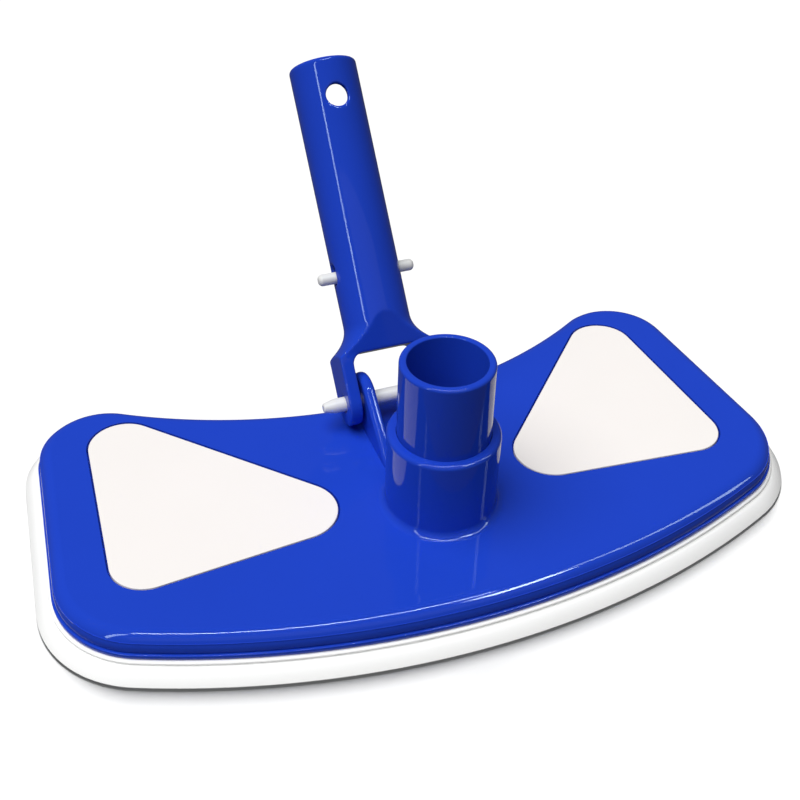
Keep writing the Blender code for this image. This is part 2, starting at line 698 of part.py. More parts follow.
def make_pivot_pin(name, parent):
    head = ARM_OUTER_X + GAP
    profile = [(PIN_NOSE_R, -PIN_END_X), (PIN_R, -PIN_END_X + PIN_NOSE), (PIN_R, head),
               (PIN_HEAD_R, head), (PIN_HEAD_R, head + 0.7 * PIN_HEAD_THICKNESS),
               (0.8 * PIN_HEAD_R, head + PIN_HEAD_THICKNESS)]
    piece = turned(name, profile, 20, axis="X")
    return finish(piece, "white nylon", PIN_WHITE, 0.4, parent=parent,
                  location=(0, PIVOT_Y, PIVOT_Z))


# ---------------------------------------------------------------- spring clip


def make_button(name, side, parent):
    round_r = BUTTON_TIP_ROUND
    inner = BUTTON_FLANGE_X
    profile = [(BUTTON_FLANGE_R, inner), (BUTTON_FLANGE_R, inner + BUTTON_FLANGE_THICKNESS),
               (BUTTON_R, inner + BUTTON_FLANGE_THICKNESS)]
    profile += [(BUTTON_R - round_r + r, BUTTON_TIP_X - round_r + x)
                for r, x in arc((0, 0), round_r, 0, math.pi / 2, 3)]
    piece = turned(name, profile, 16, axis="X")
    if side < 0:
        piece.data.transform(Matrix.Rotation(math.pi, 4, "Z"))
    return finish(piece, "white nylon", PIN_WHITE, 0.4, parent=parent, location=(0, 0, CLIP_S))


def make_clip_spring(name, parent):
    """A V of flat strip: two straight legs behind the buttons, closing to a bend above."""
    middle = BUTTON_FLANGE_X - GAP - SPRING_THICKNESS / 2
    bend_z = CLIP_S + SPRING_LENGTH
    right = [Vector((middle, CLIP_S - SPRING_LEG_BELOW)), Vector((middle, CLIP_S + SPRING_LEG_ABOVE))]
    bend = [Vector(point) for point in arc((0, bend_z), SPRING_BEND_R, 0, math.pi, SPRING_STEPS)]
    left = [Vector((-point.x, point.y)) for point in reversed(right)]
    path = right + bend + left
    inner, outer = [], []
    for index, point in enumerate(path):
        before = path[max(index - 1, 0)]
        after = path[min(index + 1, len(path) - 1)]
        along = (after - before).normalized()
        across = Vector((along.y, -along.x)) * SPRING_THICKNESS / 2
        outer.append(tuple(point + across))
        inner.append(tuple(point - across))
    outline = outer + inner[::-1]
    piece = front_prism(name, outline, -SPRING_HALF_WIDTH, SPRING_HALF_WIDTH)
    return finish(piece, "white nylon", PIN_WHITE, 0.4, parent=parent)


# ---------------------------------------------------------------- assembly


def middle_y():
    """The middle of everything made so far, from front to back."""
    bpy.context.view_layer.update()
    pieces = [piece for piece in bpy.data.objects if piece.type == "MESH"]
    ys = [(piece.matrix_world @ corner.co).y for piece in pieces for corner in piece.data.vertices]
    return (min(ys) + max(ys)) / 2


def build():
    clear_scene()
    head = empty("vacuum_head", (0, 0, 0))
    make_head_shell(head)
    for side_name, side in (("left", -1), ("right", 1)):
        make_cover("weight_cover_" + side_name, side, head)
        make_weight("weight_" + side_name, side, head)
    make_bumper("bumper_skirt", head)
    make_base_plate("base_plate", head)
    for place, side, front in BRUSHES:
        make_brush_holder("brush_holder_" + place, side, front, head)
        make_bristles("bristles_" + place, side, front, head)
    for side, number, x, y in screw_places():
        side_name = "left" if side < 0 else "right"
        make_screw(f"base_screw_{side_name}_{number}", x, y, head)
    make_swivel("hose_swivel", head)
    make_swivel_seal("swivel_seal", head)
    make_retaining_ring("swivel_retaining_ring", head)
    make_pivot_pin("pivot_pin", head)
    pivot = empty("handle_pivot", (0, PIVOT_Y, PIVOT_Z), head)
    pivot.rotation_euler = (-HANDLE_LEAN, 0, 0)
    make_handle("handle", pivot)
    make_clip_spring("clip_spring", pivot)
    make_button("clip_button_left", -1, pivot)
    make_button("clip_button_right", 1, pivot)
    head.location.y = -middle_y()


build()
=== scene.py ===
"""The looks of a manual pool vacuum head.

A weighted blue half-moon plate in a white bumper, with a swivelling hose port and a handle that
tilts. Metres throughout: x runs across the head, y from its front to its back, z up.
"""

import json
import math

import bpy
from mathutils import Matrix, Quaternion, Vector


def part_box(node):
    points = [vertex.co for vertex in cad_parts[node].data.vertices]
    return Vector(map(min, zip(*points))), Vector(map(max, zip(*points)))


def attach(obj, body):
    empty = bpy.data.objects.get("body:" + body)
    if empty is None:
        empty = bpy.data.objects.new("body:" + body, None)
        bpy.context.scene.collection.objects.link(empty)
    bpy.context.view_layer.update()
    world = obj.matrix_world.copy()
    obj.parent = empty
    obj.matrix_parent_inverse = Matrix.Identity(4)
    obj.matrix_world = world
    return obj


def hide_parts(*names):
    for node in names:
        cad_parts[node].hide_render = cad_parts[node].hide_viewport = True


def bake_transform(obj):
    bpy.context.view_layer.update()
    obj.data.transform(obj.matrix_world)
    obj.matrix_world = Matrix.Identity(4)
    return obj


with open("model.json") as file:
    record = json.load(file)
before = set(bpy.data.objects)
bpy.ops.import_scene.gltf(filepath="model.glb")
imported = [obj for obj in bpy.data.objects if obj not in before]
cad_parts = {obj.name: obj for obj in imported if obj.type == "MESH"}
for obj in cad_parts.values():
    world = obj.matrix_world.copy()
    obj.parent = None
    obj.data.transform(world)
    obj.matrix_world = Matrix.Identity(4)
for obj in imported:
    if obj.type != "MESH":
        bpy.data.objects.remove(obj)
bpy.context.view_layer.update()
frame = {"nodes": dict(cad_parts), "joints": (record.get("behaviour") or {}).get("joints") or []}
bpy.ops.object.select_all(action="DESELECT")
joints = {joint["name"]: joint for joint in frame["joints"]}
nodes = frame["nodes"]

# ================================================================ head shell
# The plate is one glossy blue moulding, hollow underneath, with a small bead round its lower
# edge. The fixed collar of the hose port and the two hinge lugs are moulded with it, and two
# rounded triangles are sunk into its top for the weights and their covers.

PORT_Y = joints["hose_swivel_turn"]["pos_m"][1]
PIVOT = Vector(joints["handle_tilt"]["pos_m"])
SHELL_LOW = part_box("head_shell")[0]
COVER_LOW, COVER_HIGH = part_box("weight_cover_right")
PLATE_TOP = COVER_HIGH.z
FRONT_Y, FRONT_R = -0.0590, 0.3490  # long arcs of the plan shape, measured from the port
BACK_Y, BACK_R = 0.0721, 0.2192
SIDE_X = 0.1579
SIDE_TURN = math.radians(3.5)
FRONT_CORNER_R, BACK_CORNER_R = 0.0399, 0.0274
WALL = 0.0030
BEAD_HEIGHT = 0.0022
BEAD_EDGE_R = 0.0004
BEAD_STEP = 0.0009
GROOVE_HEIGHT = 0.0006
GROOVE_STEP = 0.0006
CORE_RAISE = 0.0005  # the groove's floor starts this far above the bead's foot
TOP_EDGE_R = 0.0062
COVER_CORNERS = ((0.1296, 0.1117, 0.0150), (0.0219, -0.0007, 0.0164), (0.1355, -0.0109, 0.0148))
COVER_CLEARANCE = 0.0008
LEDGE = 0.0022
WELL_WALL = 0.0018
HAIR = 0.0003  # the play left between pieces that rest on each other
NEAR = 0.0001  # a height this close to a level is on it
TOUCHING = 0.000001  # points this close are one point
BROAD_AREA = 0.0001  # a face larger than this is a broad flat
COLLAR_R = 0.0228
COLLAR_TOP = PLATE_TOP + 0.0365
COLLAR_BORE_R = 0.01905
COLLAR_FOOT_R = 0.0034
COLLAR_EDGE_R = 0.0018
PORT_STEPS = 160
LUG_INNER_X, LUG_OUTER_X = 0.0101, 0.0152
LUG_R = 0.0124
LUG_FRONT_Y, LUG_BACK_Y = 0.0220, 0.0660
LUG_EDGE_R = 0.0022
PIN_HOLE_R = 0.0035
LONG_ARC_STEPS, CORNER_STEPS, COVER_STEPS, LUG_STEPS = 48, 24, 20, 24


def arc(centre, radius, start, end, steps):
    """Points on an arc, from the start angle to the end angle."""
    turns = (start + (end - start) * step / steps for step in range(steps + 1))
    return [(centre[0] + radius * math.cos(a), centre[1] + radius * math.sin(a)) for a in turns]


def corner_centre(arc_y, arc_radius, side_distance):
    """Centre of a corner arc, from its distances to a long arc's centre and to the side."""
    normal = Vector((math.cos(SIDE_TURN), math.sin(SIDE_TURN)))
    rise = side_distance - normal.y * arc_y
    foot = Vector((0.0, arc_y)) + normal * rise
    return foot - math.sqrt(arc_radius**2 - rise**2) * Vector((-normal.y, normal.x))


def plate_outline(grow=0.0):
    """The half-moon's edge, moved outwards by grow: long arcs, sides and corner arcs."""
    front_y, back_y = FRONT_Y + FRONT_R, BACK_Y + BACK_R
    front_r, back_r = FRONT_R + grow, BACK_R - grow
    front_corner, back_corner = FRONT_CORNER_R + grow, BACK_CORNER_R + grow
    side = SIDE_X * math.cos(SIDE_TURN) + grow
    front_centre = corner_centre(front_y, front_r - front_corner, side - front_corner)
    back_centre = corner_centre(back_y, back_r + back_corner, side - back_corner)
    front_turn = math.atan2(front_centre.y - front_y, front_centre.x)
    back_turn = math.atan2(back_y - back_centre.y, -back_centre.x)
    right = arc((0, front_y), front_r, -math.pi / 2, front_turn, LONG_ARC_STEPS)
    right += arc(front_centre, front_corner, front_turn, SIDE_TURN, CORNER_STEPS)[1:]
    right += arc(back_centre, back_corner, SIDE_TURN, back_turn, CORNER_STEPS)
    right += arc((0, back_y), back_r, back_turn - math.pi, -math.pi / 2, LONG_ARC_STEPS)[1:]
    points = right + [(-x, y) for x, y in reversed(right[1:-1])]
    return [(x, y + PORT_Y) for x, y in points]


def cover_outline(side, grow=0.0):
    """The rounded triangle of a weight cover, on the left (-1) or the right (1)."""
    points = []
    for index, (x, y, radius) in enumerate(COVER_CORNERS):
        corner = Vector((x, y))
        before = (Vector(COVER_CORNERS[index - 1][:2]) - corner).normalized()
        after = (Vector(COVER_CORNERS[(index + 1) % 3][:2]) - corner).normalized()
        half_angle = before.angle(after) / 2
        centre = corner + (before + after).normalized() * (radius / math.sin(half_angle))
        start = corner + before * (radius / math.tan(half_angle)) - centre
        end = corner + after * (radius / math.tan(half_angle)) - centre
        first = math.atan2(start.y, start.x)
        turn = (math.atan2(end.y, end.x) - first + math.pi) % math.tau - math.pi
        points += arc(centre, radius + grow, first, first + turn, COVER_STEPS)
    return [(side * x, y + PORT_Y) for x, y in points]


def pick_all():
    """Opens the active piece in edit mode, with all of it selected."""
    bpy.ops.object.mode_set(mode="EDIT")
    bpy.ops.mesh.select_all(action="SELECT")


def leave_edit():
    """Drops the selection and goes back to object mode."""
    bpy.ops.mesh.select_all(action="DESELECT")
    bpy.ops.object.mode_set(mode="OBJECT")


def face_on(name, points):
    """A face with its corners on the points given: a filled circle, moved onto them."""
    bpy.ops.object.select_all(action="DESELECT")
    bpy.ops.mesh.primitive_circle_add(vertices=len(points), radius=0.1, fill_type="NGON")
    piece = bpy.context.object
    piece.name = name
    for vertex, point in zip(piece.data.vertices, points):
        vertex.co = point
    return piece


def extruded(name, points, way):
    """A face on the points, pulled along way into a solid."""
    piece = face_on(name, points)
    pick_all()
    bpy.ops.mesh.extrude_region_move(TRANSFORM_OT_translate={"value": way})
    bpy.ops.mesh.select_all(action="SELECT")
    bpy.ops.mesh.normals_make_consistent(inside=False)
    leave_edit()
    return piece


def slab(name, outline, low, high):
    """An outline in plan, solid from low to high."""
    return extruded(name, [(x, y, low) for x, y in outline], (0, 0, high - low))


def bevel_where(piece, chosen, width, segments):
    """Rounds the edges for which chosen(edge middle, edge direction) holds."""
    bpy.context.view_layer.objects.active = piece
    pick_all()
    leave_edit()
    mesh = piece.data
    for edge in mesh.edges:
        start, end = (mesh.vertices[index].co for index in edge.vertices)
        edge.select = bool(chosen((start + end) / 2, (end - start).normalized()))
    bpy.ops.object.mode_set(mode="EDIT")
    bpy.ops.mesh.select_mode(type="EDGE")
    bpy.ops.mesh.bevel(offset=width, segments=segments, profile=0.5, clamp_overlap=False)
    leave_edit()


def combine(piece, tool, operation):
    """Joins the tool to the piece, or cuts it away, for good."""
    bpy.context.view_layer.objects.active = piece
    modifier = piece.modifiers.new(operation.title(), "BOOLEAN")
    modifier.operation = operation
    modifier.solver = "EXACT"
    modifier.object = tool
    bpy.ops.object.modifier_apply(modifier=modifier.name)
    bpy.data.objects.remove(tool, do_unlink=True)


def turned(name, profile, centre, axis, steps):
    """A closed half section of (radius, height) points, spun about an axis through centre."""
    along = Vector(axis)
    across = Vector((1, 0, 0)) if along.z else Vector((0, 0, 1))
    centre = Vector(centre)
    piece = face_on(name, [centre + across * radius + along * height for radius, height in profile])
    pick_all()
    bpy.ops.mesh.delete(type="ONLY_FACE")
    bpy.ops.mesh.select_all(action="SELECT")
    bpy.ops.mesh.spin(steps=steps, angle=math.tau, center=centre, axis=axis)
    bpy.ops.mesh.select_all(action="SELECT")
    bpy.ops.mesh.remove_doubles(threshold=TOUCHING)
    bpy.ops.mesh.dissolve_degenerate(threshold=TOUCHING)
    bpy.ops.mesh.select_all(action="SELECT")
    bpy.ops.mesh.delete_loose(use_edges=True)
    bpy.ops.mesh.select_all(action="SELECT")
    bpy.ops.mesh.normals_make_consistent(inside=False)
    leave_edit()
    return piece


def copy_at(piece, name, place):
    """A copy of the piece, with its own mesh, moved by place."""
    twin = piece.copy()
    twin.data = piece.data.copy()
    twin.data.transform(Matrix.Translation(place))
    twin.name = name
    bpy.context.scene.collection.objects.link(twin)
    return twin


def smooth_finish(piece, angle=35):
    """Shades the piece as a moulding: soft over its roundings, true on its broad flats."""
    bpy.ops.object.select_all(action="DESELECT")
    piece.select_set(True)
    bpy.context.view_layer.objects.active = piece
    bpy.ops.object.shade_smooth_by_angle(angle=math.radians(angle))
    mesh = piece.data
    flats = {}
    for face in mesh.polygons:
        if face.area > BROAD_AREA:
            for corner in face.vertices:
                flats.setdefault(corner, []).append(face.normal.copy())
    normals = [corner.vector.copy() for corner in mesh.corner_normals]
    for face in mesh.polygons:
        for loop in face.loop_indices:
            if face.area > BROAD_AREA:
                normals[loop] = face.normal.copy()
                continue
            for flat in flats.get(mesh.loops[loop].vertex_index, ()):
                if flat.angle(normals[loop], 0) < math.radians(angle):
                    normals[loop] = flat
    mesh.normals_split_custom_set(normals)
    return piece


shell = slab("plate_moulding", plate_outline(0), SHELL_LOW.z, SHELL_LOW.z + BEAD_HEIGHT)
bevel_where(shell, lambda at, way: abs(way.z) < 0.5, BEAD_EDGE_R, segments=3)
body_low = SHELL_LOW.z + BEAD_HEIGHT + GROOVE_HEIGHT
core = slab("core", plate_outline(-BEAD_STEP - GROOVE_STEP), SHELL_LOW.z + CORE_RAISE,
            PLATE_TOP - WALL)
combine(shell, core, "UNION")
body = slab("body", plate_outline(-BEAD_STEP), body_low, PLATE_TOP)
bevel_where(body, lambda at, way: at.z > PLATE_TOP - NEAR, TOP_EDGE_R, segments=12)
combine(shell, body, "UNION")
hollow = slab("hollow", plate_outline(-WALL), SHELL_LOW.z - WALL, PLATE_TOP - WALL)
bevel_where(hollow, lambda at, way: at.z > PLATE_TOP - WALL - NEAR,
            TOP_EDGE_R + BEAD_STEP - WALL, segments=4)
combine(shell, hollow, "DIFFERENCE")

collar_section = [(COLLAR_BORE_R, PLATE_TOP - WALL / 2)]
collar_section += [(COLLAR_R + COLLAR_FOOT_R, PLATE_TOP - WALL / 2)]
collar_section += [(COLLAR_R + COLLAR_FOOT_R + r, PLATE_TOP + COLLAR_FOOT_R + z)
                   for r, z in arc((0, 0), COLLAR_FOOT_R, -math.pi / 2, -math.pi, steps=10)]
collar_section += [(COLLAR_R - COLLAR_EDGE_R + r, COLLAR_TOP - COLLAR_EDGE_R + z)
                   for r, z in arc((0, 0), COLLAR_EDGE_R, 0, math.pi / 2, steps=8)]
collar_section += [(COLLAR_BORE_R, COLLAR_TOP)]
collar = turned("collar", collar_section, (0, PORT_Y, 0), (0, 0, 1), PORT_STEPS)
combine(shell, collar, "UNION")


def tangent_point(point, centre, radius, side):
    """Where a line from the point touches a circle, passing it on the side given."""
    towards = centre - point
    swing = side * math.acos(radius / towards.length)
    back = -towards.normalized() * radius
    return centre + Vector((back.x * math.cos(swing) - back.y * math.sin(swing),
                            back.x * math.sin(swing) + back.y * math.cos(swing)))


for side in (-1, 1):
    eye = Vector((PIVOT.y, PIVOT.z))
    front_foot = Vector((PORT_Y + LUG_FRONT_Y, PLATE_TOP))
    back_foot = Vector((PORT_Y + LUG_BACK_Y, PLATE_TOP))
    front = tangent_point(front_foot, eye, LUG_R, -1) - eye
    back = tangent_point(back_foot, eye, LUG_R, 1) - eye
    lug_side = arc(eye, LUG_R, math.atan2(back.y, back.x), math.atan2(front.y, front.x),
                   LUG_STEPS)
    root = PLATE_TOP - WALL + HAIR
    lug_side += [tuple(front_foot), (front_foot.x, root), (back_foot.x, root), tuple(back_foot)]
    lug = extruded("lug", [(side * LUG_INNER_X, y, z) for y, z in lug_side],
                   (side * (LUG_OUTER_X - LUG_INNER_X), 0, 0))
    bevel_where(lug, lambda at, way: abs(way.x) < 0.5 and at.z > root + NEAR, LUG_EDGE_R,
                segments=8)
    combine(shell, lug, "UNION")
    well = slab("well", cover_outline(side, WELL_WALL), SHELL_LOW.z, PLATE_TOP - WALL / 2)
    combine(shell, well, "UNION")
pocket_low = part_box("weight_right")[0].z - HAIR
for side in (-1, 1):
    seat = slab("seat", cover_outline(side, COVER_CLEARANCE), COVER_LOW.z - HAIR, PLATE_TOP + WALL)
    combine(shell, seat, "DIFFERENCE")
    pocket = slab("pocket", cover_outline(side, -LEDGE), pocket_low, PLATE_TOP)
    combine(shell, pocket, "DIFFERENCE")
bore_low, bore_high = -0.01, 0.1  # past both ends of the collar
bore_side = [(0, bore_low), (COLLAR_BORE_R, bore_low), (COLLAR_BORE_R, bore_high), (0, bore_high)]
bore = turned("bore", bore_side, (0, PORT_Y, 0), (0, 0, 1), PORT_STEPS)
combine(shell, bore, "DIFFERENCE")
bpy.ops.mesh.primitive_cylinder_add(vertices=64, radius=PIN_HOLE_R, depth=0.05, location=PIVOT,
                                    rotation=(0, math.pi / 2, 0))
combine(shell, bpy.context.object, "DIFFERENCE")
smooth_finish(shell)


def plastic(name, colour, roughness, mottle=0.05, grain=900.0, relief=0.03, shine=0.5):
    """Moulded plastic: its colour drifts a little, its gloss varies, its skin has a fine grain."""
    drift_scale, dullest, glossiest, skin_depth = 28.0, 1.15, 0.85, 0.0002
    made = bpy.data.materials.new(name)
    made.use_nodes = True
    tree = made.node_tree
    shader = tree.nodes["Principled BSDF"]
    place = tree.nodes.new("ShaderNodeTexCoord")
    drift = tree.nodes.new("ShaderNodeTexNoise")
    drift.inputs["Scale"].default_value = drift_scale
    drift.inputs["Detail"].default_value = 3.0
    tree.links.new(place.outputs["Object"], drift.inputs["Vector"])
    mix = tree.nodes.new("ShaderNodeMix")
    mix.data_type = "RGBA"
    mix.inputs["A"].default_value = (*(value * (1 - mottle) for value in colour), 1)
    mix.inputs["B"].default_value = (*(min(1, value * (1 + mottle)) for value in colour), 1)
    tree.links.new(drift.outputs["Fac"], mix.inputs["Factor"])
    tree.links.new(mix.outputs["Result"], shader.inputs["Base Color"])
    gloss = tree.nodes.new("ShaderNodeMapRange")
    gloss.inputs["To Min"].default_value = roughness * glossiest
    gloss.inputs["To Max"].default_value = roughness * dullest
    tree.links.new(drift.outputs["Fac"], gloss.inputs["Value"])
    tree.links.new(gloss.outputs["Result"], shader.inputs["Roughness"])
    skin = tree.nodes.new("ShaderNodeTexNoise")
    skin.inputs["Scale"].default_value = grain
    skin.inputs["Detail"].default_value = 2.0
    tree.links.new(place.outputs["Object"], skin.inputs["Vector"])
    bump = tree.nodes.new("ShaderNodeBump")
    bump.inputs["Strength"].default_value = relief
    bump.inputs["Distance"].default_value = skin_depth
    tree.links.new(skin.outputs["Fac"], bump.inputs["Height"])
    tree.links.new(bump.outputs["Normal"], shader.inputs["Normal"])
    shader.inputs["Specular IOR Level"].default_value = shine
    return made


BLUE = (0.012, 0.054, 0.530)
blue_gloss = plastic("blue gloss moulding", BLUE, 0.05, mottle=0.04, grain=60.0, relief=0.03,
                     shine=0.33)
shell.data.materials.append(blue_gloss)
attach(shell, "head")
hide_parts("head_shell")

# ================================================================ weight covers and weights
# Each cover is a flat white lid, pressed flush into its seat in the plate. Its edge has a hair's
# rounding, and a fine line stays open round it. A zinc-plated casting fills the well below.

COVER_EDGE_R = 0.0004
cover_white = plastic("white satin cover", (0.920, 0.880, 0.850), 0.42, mottle=0.012, grain=1500.0,
                      relief=0.05)
for side, word in ((-1, "left"), (1, "right")):
    cover = slab("cover_lid_" + word, cover_outline(side), COVER_LOW.z, PLATE_TOP)
    bevel_where(cover, lambda at, way: at.z > PLATE_TOP - NEAR, COVER_EDGE_R, segments=4)
    smooth_finish(cover)
    cover.data.materials.append(cover_white)
    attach(cover, "head")
    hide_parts("weight_cover_" + word)


def plated(name, colour, roughness, streak=(1, 1, 1), scale=300.0):
    """Bare or plated metal, with a fine streak or speckle in its gloss."""
    darkest, glossiest, dullest = 0.8, 0.7, 1.3
    made = bpy.data.materials.new(name)
    made.use_nodes = True
    tree = made.node_tree
    shader = tree.nodes["Principled BSDF"]
    shader.inputs["Metallic"].default_value = 1.0
    place = tree.nodes.new("ShaderNodeTexCoord")
    stretch = tree.nodes.new("ShaderNodeMapping")
    stretch.inputs["Scale"].default_value = streak
    tree.links.new(place.outputs["Object"], stretch.inputs["Vector"])
    speckle = tree.nodes.new("ShaderNodeTexNoise")
    speckle.inputs["Scale"].default_value = scale
    speckle.inputs["Detail"].default_value = 4.0
    tree.links.new(stretch.outputs["Vector"], speckle.inputs["Vector"])
    mix = tree.nodes.new("ShaderNodeMix")
    mix.data_type = "RGBA"
    mix.inputs["A"].default_value = (*(value * darkest for value in colour), 1)
    mix.inputs["B"].default_value = (*colour, 1)
    tree.links.new(speckle.outputs["Fac"], mix.inputs["Factor"])
    tree.links.new(mix.outputs["Result"], shader.inputs["Base Color"])
    gloss = tree.nodes.new("ShaderNodeMapRange")
    gloss.inputs["To Min"].default_value = roughness * glossiest
    gloss.inputs["To Max"].default_value = roughness * dullest
    tree.links.new(speckle.outputs["Fac"], gloss.inputs["Value"])
    tree.links.new(gloss.outputs["Result"], shader.inputs["Roughness"])
    return made


def dress(node, finish):
    """Gives a CAD node its finish, in place of the plain one that it came with."""
    nodes[node].data.materials.clear()
    nodes[node].data.materials.append(finish)


zinc = plated("zinc plated casting", (0.62, 0.63, 0.65), 0.45, scale=420.0)
for word in ("left", "right"):
    dress("weight_" + word, zinc)

# ================================================================ bumper
# A soft white vinyl skirt goes all round the head. It is extruded in one section, bent round the
# plate and welded: a flat lip under the blue bead, a bulged face that spreads to the floor, and a
# tongue that the base plate traps inside the shell.

BUMPER_TOP = SHELL_LOW.z - HAIR
BASE_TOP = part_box("base_plate")[1].z
BUMPER_FLARE, BUMPER_LIP = 0.0068, 0.0012
LIP_R, FOOT_R = 0.0008, 0.0012
LIP_DROP = 2.3  # the face starts this many lip radii down
BUMPER_INNER = -0.0025
TONGUE_OUTER, TONGUE_INNER = -0.0033, -0.0050
TONGUE_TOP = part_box("bumper_skirt")[1].z
BULGE_STEPS = 10
BULGE_OUT, BULGE_DOWN = 0.8, 1.25  # how soon the face spreads, and how late it drops


def swept(name, path, section):
    """A closed section of (outward, up) points, carried round a closed path in plan.

    The path runs anticlockwise, and a section's own x points to its left, so out is turned round.
    """
    bpy.ops.object.select_all(action="DESELECT")
    bpy.ops.curve.primitive_bezier_circle_add(radius=0.1)
    track = bpy.context.object
    track.data.dimensions = "2D"
    track.data.splines.clear()
    line = track.data.splines.new("POLY")
    line.points.add(len(path) - 1)
    for point, (x, y) in zip(line.points, path):
        point.co = (x, y, 0, 1)
    line.use_cyclic_u = True
    bpy.ops.curve.primitive_bezier_circle_add(radius=0.1)
    cut = bpy.context.object
    cut.data.splines.clear()
    line = cut.data.splines.new("POLY")
    line.points.add(len(section) - 1)
    for point, (out, up) in zip(line.points, section):
        point.co = (-out, up, 0, 1)
    line.use_cyclic_u = True
    track.data.bevel_mode = "OBJECT"
    track.data.bevel_object = cut
    bpy.ops.object.select_all(action="DESELECT")
    track.select_set(True)
    bpy.context.view_layer.objects.active = track
    bpy.ops.object.convert(target="MESH")
    piece = bpy.context.object
    piece.name = name
    bpy.data.objects.remove(cut, do_unlink=True)
    pick_all()
    bpy.ops.mesh.remove_doubles(threshold=TOUCHING)
    bpy.ops.mesh.select_all(action="SELECT")
    bpy.ops.mesh.normals_make_consistent(inside=False)
    leave_edit()
    return piece


lip = [(BUMPER_LIP - LIP_R + out, BUMPER_TOP - LIP_R + up)
       for out, up in arc((0, 0), LIP_R, math.pi / 2, -math.pi / 3, steps=8)]
slope_top = BUMPER_TOP - LIP_DROP * LIP_R
slope = []
for step in range(BULGE_STEPS + 1):
    part = step / BULGE_STEPS
    slope.append((BUMPER_LIP + (BUMPER_FLARE - BUMPER_LIP) * part ** BULGE_OUT,
                  slope_top - (slope_top - FOOT_R) * part ** BULGE_DOWN))
foot = [(BUMPER_FLARE - FOOT_R + out, FOOT_R + up)
        for out, up in arc((0, 0), FOOT_R, 0, -math.pi / 2, steps=6)]
section = [(BUMPER_INNER, 0.0), (BUMPER_INNER, BASE_TOP + HAIR), (TONGUE_INNER, BASE_TOP + HAIR),
           (TONGUE_INNER, TONGUE_TOP), (TONGUE_OUTER, TONGUE_TOP), (TONGUE_OUTER, BUMPER_TOP)]
section += lip + slope + foot[1:]
bumper = swept("bumper_vinyl", plate_outline(0), section)
smooth_finish(bumper, angle=40)
vinyl = plastic("white vinyl bumper", (0.92, 0.92, 0.91), 0.48, mottle=0.02, grain=700.0,
                relief=0.06)
bumper.data.materials.append(vinyl)
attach(bumper, "head")
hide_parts("bumper_skirt")

# ================================================================ underside
# An off-white base plate closes the shell, with the suction mouth in its middle. Eight stainless
# screws hold it up. Four blue strips are pressed into its grooves and carry tufts of nylon.

base_plastic = plastic("off-white base plastic", (0.70, 0.70, 0.68), 0.5, grain=500.0, relief=0.1)
dress("base_plate", base_plastic)
dress("swivel_retaining_ring", base_plastic)
blue_strip = plastic("blue satin strip", BLUE, 0.4, grain=400.0, relief=0.08)
filament = plastic("nylon filament", (0.80, 0.80, 0.77), 0.55, mottle=0.10, grain=2500.0,
                   relief=0.2)
TUFT_STEP, TUFT_ROW, TUFT_R = 0.0021, 0.0010, 0.00075
TUFT_SPLAY = 1.25
STRIP_INSET = 0.0115  # middle of a strip, inside the plate's edge
TUFT_REACH = {"front": (0.0100, 0.1160), "rear": (0.0280, 0.1100)}  # first and last tuft in x
tuft_low, tuft_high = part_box("bristles_front_left")
bpy.ops.object.select_all(action="DESELECT")
bpy.ops.mesh.primitive_cone_add(vertices=8, radius1=TUFT_R * TUFT_SPLAY, radius2=TUFT_R,
                                depth=tuft_high.z - tuft_low.z)
tuft = bpy.context.object
bpy.ops.object.shade_smooth_by_angle(angle=math.radians(50))
tuft.data.materials.append(filament)
for place in ("front_left", "front_right", "rear_left", "rear_right"):
    dress("brush_holder_" + place, blue_strip)
    end, hand = place.split("_")
    near, far = TUFT_REACH[end]
    centre_y = (FRONT_Y + FRONT_R if end == "front" else BACK_Y + BACK_R) + PORT_Y
    radius = FRONT_R - STRIP_INSET if end == "front" else BACK_R + STRIP_INSET
    steps = int((far - near) / TUFT_STEP)
    bpy.ops.object.select_all(action="DESELECT")
    for row in (-TUFT_ROW, TUFT_ROW):
        for step in range(steps + 1):
            turn = math.asin((near + (far - near) * step / steps) / radius)
            x = (radius + row) * math.sin(turn) * (-1 if hand == "left" else 1)
            y = centre_y - (radius + row) * math.cos(turn)
            tufts = copy_at(tuft, "tufts_" + place, (x, y, (tuft_low.z + tuft_high.z) / 2))
            tufts.select_set(True)
    bpy.context.view_layer.objects.active = tufts
    bpy.ops.object.join()
    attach(tufts, "head")
    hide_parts("bristles_" + place)
bpy.data.objects.remove(tuft, do_unlink=True)

steel = plated("turned stainless steel", (0.62, 0.62, 0.63), 0.28, streak=(1, 1, 8), scale=700.0)
SCREW_HEAD_R, SCREW_HEAD_HEIGHT, SCREW_SHANK_R = 0.0036, 0.0012, 0.0014
SLOT_LENGTH, SLOT_WIDTH, SLOT_DEPTH = 0.0036, 0.0008, 0.0009
screw_low, screw_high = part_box("base_screw_left_1")
screw_length = screw_high.z - screw_low.z
screw_line = [(0, 0), (SCREW_HEAD_R * 0.55, 0), (SCREW_HEAD_R * 0.9, SCREW_HEAD_HEIGHT * 0.25),
              (SCREW_HEAD_R, SCREW_HEAD_HEIGHT * 0.6), (SCREW_HEAD_R, SCREW_HEAD_HEIGHT),
              (SCREW_SHANK_R, SCREW_HEAD_HEIGHT), (SCREW_SHANK_R, screw_length - SCREW_SHANK_R),
              (0, screw_length)]
first_screw = turned("screw", screw_line, (0, 0, 0), (0, 0, 1), steps=32)
for length, width in ((SLOT_LENGTH, SLOT_WIDTH), (SLOT_WIDTH, SLOT_LENGTH)):
    bpy.ops.mesh.primitive_cube_add(size=1)
    cross_slot = bpy.context.object
    cross_slot.scale = (length, width, 2 * SLOT_DEPTH)
    combine(first_screw, cross_slot, "DIFFERENCE")
smooth_finish(first_screw)
first_screw.data.materials.append(steel)
